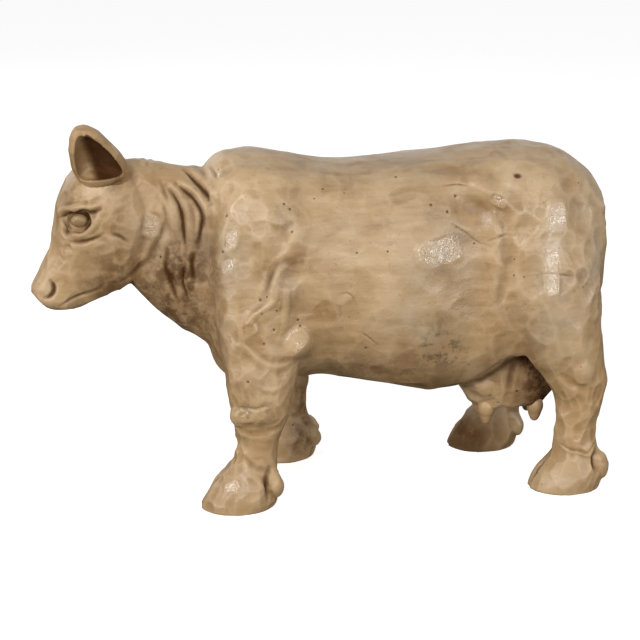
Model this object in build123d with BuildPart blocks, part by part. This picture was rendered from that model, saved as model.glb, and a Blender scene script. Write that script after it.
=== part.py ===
"""Cow figurine, carved by knife from wooden blocks that are doweled and glued together.

The trunk block carries every other piece. Its front end is sawn flat for the head block, its underside
is flat where the four leg blocks and the udder are glued on, and dowels cross each of these seams. The
ears, teats and tail are let in with round tenons and scribed to the surface that they stand on, and the
eyes are beads in drilled sockets. Nothing on the figure moves.

The cow faces -X and its left side is -Y. The origin is on the floor, under the middle of the figure.
All sizes are in millimetres.
"""

import os
from math import cos, radians, sin

from build123d import *

LEFT, RIGHT = -1, 1

# Whole figure
HEAD_REACH = 85.0
TRUNK_LENGTH = 195.0
TAIL_OVERHANG = 6.0
BELLY_HEIGHT = 48.0
GLUE_CLEARANCE = 0.1
OVERRUN = 10.0

# Trunk block
TRUNK_DEPTH = 123.5
TRUNK_WIDTH = 80.0

# Head block: the neck behind it, then the head itself, which points down along its own axis
NECK_DEPTH = 89.0
NECK_WIDTH = 46.0
HEAD_LENGTH = 69.0
HEAD_DEPTH = 50.0
HEAD_WIDTH = 40.0
HEAD_PITCH = 47.4
POLL_HEIGHT = 167.0

# Ears
EAR_LENGTH = 32.0
EAR_WIDTH = 25.0
EAR_THICKNESS = 15.0
EAR_WALL = 2.4
LEFT_EAR_SPLAY = 25.0
RIGHT_EAR_SPLAY = 80.0
EAR_LEAN = 6.0
EAR_TENON_RADIUS = 3.0
EAR_TENON_LENGTH = 9.0

# Eyes
EYE_RADIUS = 4.2
EYE_SOCKET_DEPTH = 6.0
EYE_RIM_RADIUS = 6.0
EYE_LENGTH = 8.5
EYE_DOME_SHARE = 0.85

# Legs
LEG_TRACK = 59.0
FORE_SEAM_HEIGHT = 55.0
HIND_SEAM_HEIGHT = 70.0
SHANK_LENGTH = 22.0
SHANK_WIDTH = 18.0
LEFT_FORE_STEP = -5.5
RIGHT_FORE_STEP = 5.0
LEFT_HIND_STEP = 9.0
RIGHT_HIND_STEP = -9.5
HOCK_SET = 5.0
HOOF_HEIGHT = 24.0
HOOF_LENGTH = 37.0
HOOF_WIDTH = 28.0
HOOF_TOE_SET = 7.0
CLEFT_WIDTH = 4.0
CLEFT_LENGTH = 20.0
CLEFT_HEIGHT = 13.0
DEWCLAW_LENGTH = 12.0
DEWCLAW_RADIUS = 4.2
DEWCLAW_SPACING = 11.6
DEWCLAW_SET = 10.0
DEWCLAW_HEIGHT = 13.0
DEWCLAW_TIP_SHARE = 0.6
DEWCLAW_ROUND_SHARE = 0.4
DEWCLAW_RAKE_SHARE = 0.3

# Elbows, which stand out behind the upper arms
ELBOW_RADIUS = 8.0
ELBOW_RISE = 29.0
ELBOW_SET = 15.5
ELBOW_TRACK = 68.0

# Udder and teats
UDDER_LENGTH = 56.0
UDDER_GAP = 1.0
UDDER_DEPTH = 34.0
TEAT_RADIUS = 3.9
TEAT_LENGTH = 9.5
TEAT_TENON_RADIUS = 1.6
TEAT_TENON_LENGTH = 6.0
TEAT_SPACING_X = 26.0
TEAT_SPACING_Y = 14.0
TEAT_TIP_SHARE = 0.6

# Tail
TAIL_RADIUS = 4.2
TAIL_LENGTH = 100.0
TAIL_TENON_RADIUS = 2.5
TAIL_TENON_LENGTH = 12.0

# Dowels
NECK_DOWEL_RADIUS = 5.0
NECK_DOWEL_LENGTH = 36.0
NECK_DOWEL_SPACING = 34.0
LEG_DOWEL_RADIUS = 4.0
LEG_DOWEL_LENGTH = 34.0
UDDER_DOWEL_RADIUS = 4.0
UDDER_DOWEL_LENGTH = 26.0

# Half of a rounded outline, from its lowest point to its highest: across and up, and the row of its flank
OUTLINE_SHARES = ((0, 0), (0.60, 0.06), (0.95, 0.30), (0.96, 0.64), (0.62, 0.93), (0, 1))
FLANK_INDEX = 3

# Trunk sections from the neck seam to the rump: station, top, bottom, width and draw in of the flank.
# The neck hollow before the shoulders and the flank hollow before the hips are two of these sections.
TRUNK_SHARES = (
    (0.00, 0.94, 0.20, 0.56, 0.00),
    (0.035, 0.985, 0.10, 0.74, 0.00),
    (0.09, 1.00, 0.075, 0.90, 0.00),
    (0.25, 0.964, 0.085, 0.95, 0.00),
    (0.42, 0.955, 0.04, 0.99, 0.00),
    (0.55, 0.972, 0.00, 1.00, 0.00),
    (0.64, 0.985, 0.01, 0.95, 0.09),
    (0.75, 1.00, 0.05, 0.95, 0.02),
    (0.89, 0.965, 0.15, 0.84, 0.00),
    (0.96, 0.89, 0.23, 0.68, 0.00),
    (1.00, 0.76, 0.34, 0.44, 0.00),
)

# Places of the leg seams and the udder along the trunk
LEFT_FORE_SHARE, RIGHT_FORE_SHARE, LEFT_HIND_SHARE, RIGHT_HIND_SHARE = 0.115, 0.200, 0.892, 0.841
UDDER_PLACE_SHARE = 0.785

# Shoulder and thigh sections above the leg seam: rise, draw in, set back, length and width
SHOULDER_SHARES = (
    (0.00, 0.00, 0.00, 1.42, 1.45),
    (0.22, 0.06, 0.00, 1.75, 1.60),
    (0.48, 0.16, 0.00, 1.90, 1.60),
    (0.70, 0.40, 0.00, 1.40, 1.10),
)
THIGH_SHARES = (
    (0.00, 0.00, 0.00, 1.75, 1.45),
    (0.20, 0.06, -0.33, 2.15, 1.75),
    (0.45, 0.16, -0.50, 2.25, 1.70),
    (0.66, 0.44, -0.75, 1.50, 1.10),
)

# Neck sections forward of the seam: station along the head's reach, bottom, top and width
NECK_SHARES = (
    (0.00, 0.03, 1.01, 0.94),
    (0.20, 0.16, 1.04, 0.80),
    (0.36, 0.30, 1.07, 0.70),
    (0.48, 0.44, 1.06, 0.62),
)

# Head sections from poll to nose: station, forehead, jaw and width
HEAD_SHARES = (
    (-0.09, -0.01, 0.58, 0.52),
    (0.00, -0.12, 0.78, 0.84),
    (0.25, -0.12, 0.96, 1.00),
    (0.47, 0.01, 1.00, 0.90),
    (0.65, 0.16, 0.90, 0.70),
    (0.82, 0.24, 0.79, 0.60),
    (0.95, 0.28, 0.66, 0.60),
    (1.00, 0.33, 0.51, 0.36),
)
EAR_STATION_SHARE, EAR_BROW_SHARE, EAR_SIDE_SHARE = 0.05, 0.14, 0.27
EYE_STATION_SHARE, EYE_BROW_SHARE, EYE_SIDE_SHARE = 0.36, 0.19, 0.39

# Ear sections from root to tip: station, set towards the tail, width and thickness
EAR_SHARES = (
    (0.00, 0.02, 0.84, 0.80),
    (0.20, -0.03, 1.00, 0.98),
    (0.45, -0.09, 0.95, 1.00),
    (0.72, -0.17, 0.72, 0.80),
    (0.92, -0.22, 0.46, 0.52),
    (1.00, -0.24, 0.26, 0.32),
)
EAR_OPENING_SHARE = 0.36

# Shank sections from the seam down to the hoof: height, bow, length and width
FORE_SHANK_SHARES = (
    (1.00, 0.0, 1.38, 1.45),
    (0.74, 0.0, 1.12, 1.14),
    (0.55, 0.0, 0.95, 0.96),
    (0.38, 0.0, 0.94, 1.00),
    (0.20, 0.0, 0.90, 0.92),
)
HIND_SHANK_SHARES = (
    (1.00, 0.0, 1.75, 1.45),
    (0.83, 0.8, 1.42, 1.20),
    (0.64, 1.0, 1.06, 1.00),
    (0.47, 0.4, 0.94, 0.95),
    (0.30, 0.0, 0.98, 1.02),
    (0.17, 0.0, 0.90, 0.92),
)

# Hoof sections from the sole up: height, length and width
HOOF_SHARES = ((0.00, 1.00, 1.00), (0.35, 0.90, 0.97), (0.70, 0.68, 0.84), (1.00, 0.46, 0.64))

# Udder sections from its seat down: depth, length and width
UDDER_SHARES = ((0.00, 0.90, 0.96), (0.35, 1.00, 1.00), (0.70, 0.92, 0.95), (1.00, 0.68, 0.74))
UDDER_WALL_SHARE = 0.90

# Tail centres below its root and girth: fall along its length, overhang and radius
TAIL_SHARES = (
    (0.00, -1.40, 1.10),
    (0.07, -0.60, 1.00),
    (0.20, 0.10, 0.88),
    (0.45, 0.28, 0.72),
    (0.65, 0.20, 0.66),
    (0.80, 0.20, 1.00),
    (0.92, 0.25, 0.86),
    (1.00, 0.30, 0.30),
)
TAIL_ROOT_SHARE = 0.85
TAIL_TENON_SHARE = 0.10

# Places that follow from the sizes above
NOSE_X = -(HEAD_REACH + TRUNK_LENGTH + TAIL_OVERHANG) / 2
NECK_SEAM_X = NOSE_X + HEAD_REACH
RUMP_X = NECK_SEAM_X + TRUNK_LENGTH
THROAT_HEIGHT = BELLY_HEIGHT + TRUNK_SHARES[0][2] * TRUNK_DEPTH
HEAD_AXIS = Vector(-cos(radians(HEAD_PITCH)), 0, -sin(radians(HEAD_PITCH)))
JAW_WAY = Vector(sin(radians(HEAD_PITCH)), 0, -cos(radians(HEAD_PITCH)))
NOSE_TIP_OFFSET = HEAD_AXIS * HEAD_LENGTH + JAW_WAY * (HEAD_SHARES[-1][1] * HEAD_DEPTH)
HEAD_ORIGIN = Vector(NOSE_X - NOSE_TIP_OFFSET.X, 0, POLL_HEIGHT)
UDDER_X = NECK_SEAM_X + UDDER_PLACE_SHARE * TRUNK_LENGTH
UDDER_WIDTH = LEG_TRACK - HIND_SHANK_SHARES[0][3] * SHANK_WIDTH - 2 * UDDER_GAP


def trunk_place(share):
    """The place along X at a share of the trunk's length behind the neck seam."""
    return NECK_SEAM_X + share * TRUNK_LENGTH


LEFT_FORE_X = trunk_place(LEFT_FORE_SHARE)
RIGHT_FORE_X = trunk_place(RIGHT_FORE_SHARE)
LEFT_HIND_X = trunk_place(LEFT_HIND_SHARE)
RIGHT_HIND_X = trunk_place(RIGHT_HIND_SHARE)

# Legs: side, place of the seam along X, step of the foot, height of the seam and shank sections
LEGS = (
    ("left_fore_leg", LEFT, LEFT_FORE_X, LEFT_FORE_STEP, FORE_SEAM_HEIGHT, FORE_SHANK_SHARES),
    ("right_fore_leg", RIGHT, RIGHT_FORE_X, RIGHT_FORE_STEP, FORE_SEAM_HEIGHT, FORE_SHANK_SHARES),
    ("left_hind_leg", LEFT, LEFT_HIND_X, LEFT_HIND_STEP, HIND_SEAM_HEIGHT, HIND_SHANK_SHARES),
    ("right_hind_leg", RIGHT, RIGHT_HIND_X, RIGHT_HIND_STEP, HIND_SEAM_HEIGHT, HIND_SHANK_SHARES),
)


def outline_points(width, bottom, top, flank=0):
    """The points of a closed smooth outline, fuller than an ellipse, drawn in on its flanks by a share."""
    drawn_in = [1] * len(OUTLINE_SHARES)
    drawn_in[FLANK_INDEX] = 1 - flank
    right = [
        (width / 2 * across * draw, bottom + (top - bottom) * up)
        for (across, up), draw in zip(OUTLINE_SHARES, drawn_in)
    ]
    left = [(-across, up) for across, up in reversed(right[1:-1])]
    return right + left


def head_plane(station_share):
    """The plane across the head at a share of its length, with the brow at y zero and the jaw at +y."""
    return Plane(HEAD_ORIGIN + HEAD_AXIS * (station_share * HEAD_LENGTH), x_dir=(0, 1, 0), z_dir=HEAD_AXIS)


def head_point(station_share, brow_share, side_share, side):
    """A point of the head from its shares of length, depth and width."""
    plane = head_plane(station_share)
    return plane.from_local_coords((side * side_share * HEAD_WIDTH, brow_share * HEAD_DEPTH, 0))


def ear_plane(side):
    """The plane at an ear's root, with z along the ear and x towards the tail."""
    splay = radians(LEFT_EAR_SPLAY if side == LEFT else RIGHT_EAR_SPLAY)
    way = Vector(-sin(radians(EAR_LEAN)), side * sin(splay), cos(splay))
    root = head_point(EAR_STATION_SHARE, EAR_BROW_SHARE, EAR_SIDE_SHARE, side)
    return Plane(root, x_dir=(1, 0, 0), z_dir=way)


def eye_plane(side):
    """The plane at the mouth of an eye socket, facing outwards and a little forwards."""
    way = Vector(HEAD_AXIS.X / 2, side, 0).normalized()
    mouth = head_point(EYE_STATION_SHARE, EYE_BROW_SHARE, EYE_SIDE_SHARE, side)
    return Plane(mouth, x_dir=(0, 0, 1), z_dir=way)


def neck_dowel_places():
    """The middles of the neck dowels, on the neck seam."""
    middle = THROAT_HEIGHT + NECK_DEPTH / 2
    return [(NECK_SEAM_X, 0, middle + step * NECK_DOWEL_SPACING / 2) for step in (-1, 1)]


def leg_seam(side, seam_x, seam_height):
    """The middle of a leg's glue seam."""
    return (seam_x, side * LEG_TRACK / 2, seam_height)


def limb_root(side, seam_x, seam_height, shares):
    """A shoulder or thigh, lofted from its leg seam up into the trunk."""
    with BuildPart() as root:
        for rise, draw_in, set_back, length, width in shares:
            with BuildSketch(Plane.XY.offset(seam_height + rise * TRUNK_DEPTH)):
                across = side * (LEG_TRACK - draw_in * TRUNK_WIDTH) / 2
                with Locations((seam_x + set_back * SHANK_LENGTH, across)):
                    Ellipse(length * SHANK_LENGTH / 2, width * SHANK_WIDTH / 2)
        loft()
    return root.part


def udder_wall():
    """The foot and head, along X, of the sloping wall behind the belly that the udder stands against."""
    head_x = RIGHT_HIND_X - HIND_SHANK_SHARES[0][2] * SHANK_LENGTH / 2 - UDDER_GAP
    foot_x = head_x - UDDER_WALL_SHARE * (HIND_SEAM_HEIGHT - BELLY_HEIGHT)
    return foot_x, head_x


def make_trunk():
    """The trunk block with its shoulders and thighs, the flat seats and the dowel bores."""
    roots = [
        limb_root(side, seam_x, seam_height, SHOULDER_SHARES if "fore" in name else THIGH_SHARES)
        for name, side, seam_x, step, seam_height, shank_shares in LEGS
    ]
    with BuildPart() as trunk:
        for station, top, bottom, width, flank in TRUNK_SHARES:
            with BuildSketch(Plane.YZ.offset(trunk_place(station))):
                low = BELLY_HEIGHT + bottom * TRUNK_DEPTH
                high = BELLY_HEIGHT + top * TRUNK_DEPTH
                with BuildLine():
                    Spline(*outline_points(width * TRUNK_WIDTH, low, high, flank), periodic=True)
                make_face()
        loft()
        add(roots)
        elbow_height = FORE_SEAM_HEIGHT + ELBOW_RISE
        for side, seam_x in ((LEFT, LEFT_FORE_X), (RIGHT, RIGHT_FORE_X)):
            with Locations((seam_x + ELBOW_SET, side * ELBOW_TRACK / 2, elbow_height)):
                Sphere(ELBOW_RADIUS)
        # Front end sawn flat for the head block
        split(bisect_by=Plane.YZ.offset(NECK_SEAM_X), keep=Keep.TOP)
        # Underside sawn flat for the hind legs and the udder, up to a sloping wall behind the belly
        wall_foot, wall_head = udder_wall()
        with BuildSketch(Plane.XZ):
            with BuildLine():
                Polyline(
                    (wall_foot, 0),
                    (wall_foot, BELLY_HEIGHT),
                    (wall_head, HIND_SEAM_HEIGHT),
                    (RUMP_X + OVERRUN, HIND_SEAM_HEIGHT),
                    (RUMP_X + OVERRUN, 0),
                    close=True,
                )
            make_face()
        extrude(amount=TRUNK_WIDTH, both=True, mode=Mode.SUBTRACT)
        with Locations(*[Plane(place, z_dir=(-1, 0, 0)) for place in neck_dowel_places()]):
            Hole(NECK_DOWEL_RADIUS + GLUE_CLEARANCE, NECK_DOWEL_LENGTH / 2 + GLUE_CLEARANCE)
        leg_seams = [leg_seam(side, seam_x, height) for _, side, seam_x, _, height, _ in LEGS]
        with Locations(*[Plane(seam, z_dir=(0, 0, -1)) for seam in leg_seams]):
            Hole(LEG_DOWEL_RADIUS + GLUE_CLEARANCE, LEG_DOWEL_LENGTH / 2 + GLUE_CLEARANCE)
        with Locations(Plane((UDDER_X, 0, HIND_SEAM_HEIGHT), z_dir=(0, 0, -1))):
            Hole(UDDER_DOWEL_RADIUS + GLUE_CLEARANCE, UDDER_DOWEL_LENGTH / 2 + GLUE_CLEARANCE)
        with Locations(tail_tenon_plane()):
            Hole(TAIL_TENON_RADIUS + GLUE_CLEARANCE, TAIL_TENON_LENGTH + GLUE_CLEARANCE)
    return trunk.part


def make_head():
    """The neck and head in one block, with sockets for the ears and eyes and dowel bores."""
    with BuildPart() as head:
        for station, bottom, top, width in NECK_SHARES:
            with BuildSketch(Plane.YZ.offset(NECK_SEAM_X - station * HEAD_REACH)):
                low = THROAT_HEIGHT + bottom * NECK_DEPTH
                high = THROAT_HEIGHT + top * NECK_DEPTH
                with BuildLine():
                    Spline(*outline_points(width * NECK_WIDTH, low, high), periodic=True)
                make_face()
        loft()
        for station, brow, jaw, width in HEAD_SHARES:
            with BuildSketch(head_plane(station)):
                outline = outline_points(width * HEAD_WIDTH, brow * HEAD_DEPTH, jaw * HEAD_DEPTH)
                with BuildLine():
                    Spline(*outline, periodic=True)
                make_face()
        loft()
        with Locations(*[Plane(place, z_dir=(1, 0, 0)) for place in neck_dowel_places()]):
            Hole(NECK_DOWEL_RADIUS + GLUE_CLEARANCE, NECK_DOWEL_LENGTH / 2 + GLUE_CLEARANCE)
        with Locations(*[ear_plane(side) for side in (LEFT, RIGHT)]):
            Hole(EAR_TENON_RADIUS + GLUE_CLEARANCE, EAR_TENON_LENGTH + GLUE_CLEARANCE)
        with Locations(*[eye_plane(side) for side in (LEFT, RIGHT)]):
            CounterSinkHole(EYE_RADIUS + GLUE_CLEARANCE, EYE_RIM_RADIUS, EYE_SOCKET_DEPTH)
    return head.part


def tail_centre(fall, overhang):
    """A point on the middle line of the tail from its shares."""
    height = BELLY_HEIGHT + TAIL_ROOT_SHARE * TRUNK_DEPTH - fall * TAIL_LENGTH
    return Vector(RUMP_X + overhang * TAIL_OVERHANG, 0, height)


def tail_tenon_plane():
    """The plane at the tail's root, facing back and up out of the rump."""
    return Plane(tail_centre(TAIL_TENON_SHARE, 0), z_dir=(1, 0, 1))


def make_tail(trunk):
    """The tail with its tassel, scribed to the rump, and the tenon that holds it."""
    with BuildPart() as tail:
        for fall, overhang, girth in TAIL_SHARES:
            centre = tail_centre(fall, overhang)
            with BuildSketch(Plane.XY.offset(centre.Z)):
                with Locations((centre.X, 0)):
                    Circle(girth * TAIL_RADIUS)
        loft()
        add(trunk, mode=Mode.SUBTRACT)
        with Locations(tail_tenon_plane()):
            below = (Align.CENTER, Align.CENTER, Align.MAX)
            Cylinder(TAIL_TENON_RADIUS, TAIL_TENON_LENGTH, align=below)
    return tail.part


def make_ear(side, head):
    """A cupped ear, open to the side, scribed to the head, with its tenon."""
    root = ear_plane(side)
    with BuildPart() as hollow:
        for station, back_set, width, thickness in EAR_SHARES[1:-1]:
            with BuildSketch(root.offset(station * EAR_LENGTH)):
                with Locations((back_set * EAR_WIDTH, side * EAR_OPENING_SHARE * EAR_THICKNESS)):
                    Ellipse(width * EAR_WIDTH / 2 - EAR_WALL, thickness * EAR_THICKNESS / 2 - EAR_WALL / 2)
        loft()
    with BuildPart() as ear:
        for station, back_set, width, thickness in EAR_SHARES:
            with BuildSketch(root.offset(station * EAR_LENGTH)):
                with Locations((back_set * EAR_WIDTH, 0)):
                    Ellipse(width * EAR_WIDTH / 2, thickness * EAR_THICKNESS / 2)
        loft()
        add(hollow.part, mode=Mode.SUBTRACT)
        add(head, mode=Mode.SUBTRACT)
        with Locations(root):
            below = (Align.CENTER, Align.CENTER, Align.MAX)
            Cylinder(EAR_TENON_RADIUS, EAR_TENON_LENGTH, align=below)
    return ear.part


def make_eye(side):
    """A turned peg with a domed end that sits on the floor of its socket."""
    with BuildPart() as eye:
        with Locations(eye_plane(side).offset(-EYE_SOCKET_DEPTH)):
            Cylinder(EYE_RADIUS, EYE_LENGTH, align=(Align.CENTER, Align.CENTER, Align.MIN))
        rim = eye.edges().filter_by(GeomType.CIRCLE).sort_by(Axis.Y)
        fillet(rim[-1] if side > 0 else rim[0], EYE_RADIUS * EYE_DOME_SHARE)
    return eye.part


def make_dewclaw(place):
    """A blunt claw behind the pastern, rounded at both ends."""
    with BuildPart() as claw:
        with Locations(Plane(place, z_dir=(DEWCLAW_RAKE_SHARE, 0, -1))):
            Cone(DEWCLAW_RADIUS, DEWCLAW_RADIUS * DEWCLAW_TIP_SHARE, DEWCLAW_LENGTH)
        fillet(claw.edges().filter_by(GeomType.CIRCLE), DEWCLAW_RADIUS * DEWCLAW_ROUND_SHARE)
    return claw.part


def make_leg(side, seam_x, step, seam_height, shank_shares):
    """A leg from its glue seam down to a cloven hoof with two dewclaws."""
    track = side * LEG_TRACK / 2
    coronet_x = seam_x + step
    sole_x = coronet_x - HOOF_TOE_SET
    toe_x = sole_x - HOOF_LENGTH / 2
    claw_middle = Vector(coronet_x + DEWCLAW_SET, track, DEWCLAW_HEIGHT)
    with BuildPart() as leg:
        for height, bow, length, width in shank_shares:
            with BuildSketch(Plane.XY.offset(height * seam_height)):
                with Locations((seam_x + step * (1 - height) + bow * HOCK_SET, track)):
                    Ellipse(length * SHANK_LENGTH / 2, width * SHANK_WIDTH / 2)
        loft()
        for rise, length, width in HOOF_SHARES:
            with BuildSketch(Plane.XY.offset(rise * HOOF_HEIGHT)):
                with Locations((sole_x + rise * HOOF_TOE_SET, track)):
                    Ellipse(length * HOOF_LENGTH / 2, width * HOOF_WIDTH / 2)
        loft()
        for claw_side in (LEFT, RIGHT):
            add(make_dewclaw(claw_middle + Vector(0, claw_side * DEWCLAW_SPACING / 2, 0)))
        with BuildSketch(Plane.XY):
            with BuildLine():
                Polyline(
                    (toe_x, track - CLEFT_WIDTH / 2),
                    (toe_x + CLEFT_LENGTH, track),
                    (toe_x, track + CLEFT_WIDTH / 2),
                    close=True,
                )
            make_face()
        extrude(amount=CLEFT_HEIGHT, mode=Mode.SUBTRACT)
        with Locations(Plane(leg_seam(side, seam_x, seam_height))):
            Hole(LEG_DOWEL_RADIUS + GLUE_CLEARANCE, LEG_DOWEL_LENGTH / 2 + GLUE_CLEARANCE)
    return leg.part


def teat_place(end, side):
    """The middle of a teat's seat on the flat underside of the udder."""
    seat_height = HIND_SEAM_HEIGHT - UDDER_DEPTH
    return (UDDER_X + end * TEAT_SPACING_X / 2, side * TEAT_SPACING_Y / 2, seat_height)


def make_udder(trunk):
    """The udder, flat where it meets the trunk, bored for its dowel and its teats."""
    with BuildPart() as udder:
        for depth, length, width in UDDER_SHARES:
            with BuildSketch(Plane.XY.offset(HIND_SEAM_HEIGHT - depth * UDDER_DEPTH)):
                with Locations((UDDER_X, 0)):
                    Ellipse(length * UDDER_LENGTH / 2, width * UDDER_WIDTH / 2)
        loft()
        add(trunk, mode=Mode.SUBTRACT)
        with Locations(Plane((UDDER_X, 0, HIND_SEAM_HEIGHT))):
            Hole(UDDER_DOWEL_RADIUS + GLUE_CLEARANCE, UDDER_DOWEL_LENGTH / 2 + GLUE_CLEARANCE)
        teats = [teat_place(end, side) for end in (-1, 1) for side in (LEFT, RIGHT)]
        with Locations(*[Plane(place, z_dir=(0, 0, -1)) for place in teats]):
            Hole(TEAT_TENON_RADIUS + GLUE_CLEARANCE, TEAT_TENON_LENGTH + GLUE_CLEARANCE)
    return udder.part


def make_teat(end, side):
    """A teat that tapers to a rounded tip, with its tenon."""
    with BuildPart() as teat:
        with Locations(Plane(teat_place(end, side), z_dir=(0, 0, -1))):
            above = (Align.CENTER, Align.CENTER, Align.MIN)
            below = (Align.CENTER, Align.CENTER, Align.MAX)
            Cone(TEAT_RADIUS, TEAT_RADIUS * TEAT_TIP_SHARE, TEAT_LENGTH, align=above)
            Cylinder(TEAT_TENON_RADIUS, TEAT_TENON_LENGTH, align=below)
        tip = teat.edges().filter_by(GeomType.CIRCLE).sort_by(Axis.Z)[0]
        fillet(tip, TEAT_RADIUS * TEAT_TIP_SHARE / 2)
    return teat.part


def make_dowels(places, way, radius, length):
    """A set of equal dowels with their middles on a seam."""
    with BuildPart() as dowels:
        with Locations(*[Plane(place, z_dir=way) for place in places]):
            Cylinder(radius, length)
    return dowels.part


trunk = make_trunk()
head = make_head()
pieces = {"trunk": trunk, "head": head, "tail": make_tail(trunk), "udder": make_udder(trunk)}
for side_name, side in (("left", LEFT), ("right", RIGHT)):
    pieces[f"{side_name}_ear"] = make_ear(side, head)
    pieces[f"{side_name}_eye"] = make_eye(side)
    pieces[f"front_{side_name}_teat"] = make_teat(-1, side)
    pieces[f"rear_{side_name}_teat"] = make_teat(1, side)
for name, side, seam_x, step, seam_height, shank_shares in LEGS:
    pieces[name] = make_leg(side, seam_x, step, seam_height, shank_shares)
seams = [leg_seam(side, seam_x, seam_height) for _, side, seam_x, _, seam_height, _ in LEGS]
pieces["neck_dowels"] = make_dowels(neck_dowel_places(), (1, 0, 0), NECK_DOWEL_RADIUS, NECK_DOWEL_LENGTH)
pieces["fore_leg_dowels"] = make_dowels(seams[:2], (0, 0, 1), LEG_DOWEL_RADIUS, LEG_DOWEL_LENGTH)
pieces["hind_leg_dowels"] = make_dowels(seams[2:], (0, 0, 1), LEG_DOWEL_RADIUS, LEG_DOWEL_LENGTH)
udder_seat = [(UDDER_X, 0, HIND_SEAM_HEIGHT)]
pieces["udder_dowel"] = make_dowels(udder_seat, (0, 0, 1), UDDER_DOWEL_RADIUS, UDDER_DOWEL_LENGTH)

os.makedirs("parts", exist_ok=True)
for name, piece in pieces.items():
    piece.label = name
    export_step(piece, f"parts/{name}.step")
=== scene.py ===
"""A carved wooden cow for a shelf: its blocks are fused, carved with gouge and knife, sawn apart again and waxed."""

import math

import bpy
import numpy as np
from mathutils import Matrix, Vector
from mathutils.bvhtree import BVHTree
from mathutils.kdtree import KDTree


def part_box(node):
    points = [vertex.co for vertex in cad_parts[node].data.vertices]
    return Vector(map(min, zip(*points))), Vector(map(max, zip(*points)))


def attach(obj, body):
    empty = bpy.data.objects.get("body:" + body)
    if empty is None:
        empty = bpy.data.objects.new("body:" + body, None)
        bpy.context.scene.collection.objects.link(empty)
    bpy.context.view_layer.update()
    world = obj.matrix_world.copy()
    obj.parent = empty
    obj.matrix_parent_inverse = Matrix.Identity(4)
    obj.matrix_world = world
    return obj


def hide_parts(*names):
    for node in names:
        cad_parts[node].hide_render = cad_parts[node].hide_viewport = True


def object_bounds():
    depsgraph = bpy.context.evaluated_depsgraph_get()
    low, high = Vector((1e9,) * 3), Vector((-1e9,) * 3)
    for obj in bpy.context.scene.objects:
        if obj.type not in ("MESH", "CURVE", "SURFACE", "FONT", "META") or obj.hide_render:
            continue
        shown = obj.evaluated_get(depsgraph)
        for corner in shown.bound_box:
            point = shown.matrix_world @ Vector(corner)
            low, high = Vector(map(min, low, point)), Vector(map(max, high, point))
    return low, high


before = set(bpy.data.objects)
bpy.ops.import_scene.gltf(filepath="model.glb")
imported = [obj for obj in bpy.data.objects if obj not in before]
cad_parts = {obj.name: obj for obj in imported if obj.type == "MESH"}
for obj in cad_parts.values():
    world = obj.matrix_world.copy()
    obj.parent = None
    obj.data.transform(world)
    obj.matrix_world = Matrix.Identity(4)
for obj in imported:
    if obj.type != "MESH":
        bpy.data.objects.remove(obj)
cad_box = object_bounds()
MM = 0.001
PICTURE = 640
SENSOR = 36
dice = np.random.default_rng(11)

# Camera at the picture's angle, in millimetres
AIM = Vector((-3, 0, 84))
CAMERA_TURN = math.radians(-8)
CAMERA_RISE = math.radians(18)
CAMERA_AWAY = 700
FOCAL_PX = 1400
camera_back = Vector((
    math.sin(CAMERA_TURN) * math.cos(CAMERA_RISE),
    -math.cos(CAMERA_TURN) * math.cos(CAMERA_RISE),
    math.sin(CAMERA_RISE),
))
camera_right = Vector((math.cos(CAMERA_TURN), math.sin(CAMERA_TURN), 0))
camera_up = camera_back.cross(camera_right)
camera_place = AIM + camera_back * CAMERA_AWAY
PX = CAMERA_AWAY / FOCAL_PX


def around(turn, rise, away):
    """A place round the figure: degrees to the right of its left side, degrees above level, millimetres away."""
    turn, rise = math.radians(turn), math.radians(rise)
    return AIM + Vector((math.sin(turn) * math.cos(rise), -math.cos(turn) * math.cos(rise), math.sin(rise))) * away


# Three small windows that the wax mirrors
WINDOWS = {"front": around(11, 14, 1250), "left": around(-62, 4, 1200), "right": around(43, 6, 1200)}


def turned_ways(turn):
    """The two ways along and across an oval that is turned in the picture by some degrees."""
    angle = math.radians(turn)
    along = camera_right * math.cos(angle) + camera_up * math.sin(angle)
    across = camera_up * math.cos(angle) - camera_right * math.sin(angle)
    return along, across


def figure_box(slack):
    """The corners of the figure's box in millimetres, drawn in by some slack."""
    return np.array(cad_box[0]) / MM + slack, np.array(cad_box[1]) / MM - slack


def middle_of(name):
    low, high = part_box(name)
    return (Vector(low) + Vector(high)) / 2 / MM


def deselect_all():
    bpy.ops.object.select_all(action="DESELECT")


def make_active(piece):
    deselect_all()
    piece.select_set(True)
    bpy.context.view_layer.objects.active = piece


def copy_of(mesh_object, name):
    """A second object with its own mesh, its doubles merged."""
    copy = bpy.data.objects.new(name, mesh_object.data.copy())
    bpy.context.collection.objects.link(copy)
    make_active(copy)
    bpy.ops.object.mode_set(mode="EDIT")
    bpy.ops.mesh.select_all(action="SELECT")
    bpy.ops.mesh.remove_doubles(threshold=1e-6)
    bpy.ops.object.mode_set(mode="OBJECT")
    return copy


def ball(place, sizes, turn=0.0):
    """A lump of wood, given in millimetres, turned about Y."""
    deselect_all()
    bpy.ops.mesh.primitive_uv_sphere_add(segments=32, ring_count=20, radius=1, location=Vector(place) * MM)
    lump = bpy.context.active_object
    lump.rotation_euler = (0, turn, 0)
    lump.scale = Vector(sizes) * MM
    bpy.ops.object.transform_apply(location=True, rotation=True, scale=True)
    return lump


def apply_modifier(piece, kind, **settings):
    make_active(piece)
    modifier = piece.modifiers.new(kind.lower(), kind)
    for key, value in settings.items():
        setattr(modifier, key, value)
    bpy.ops.object.modifier_apply(modifier=modifier.name)


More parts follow.
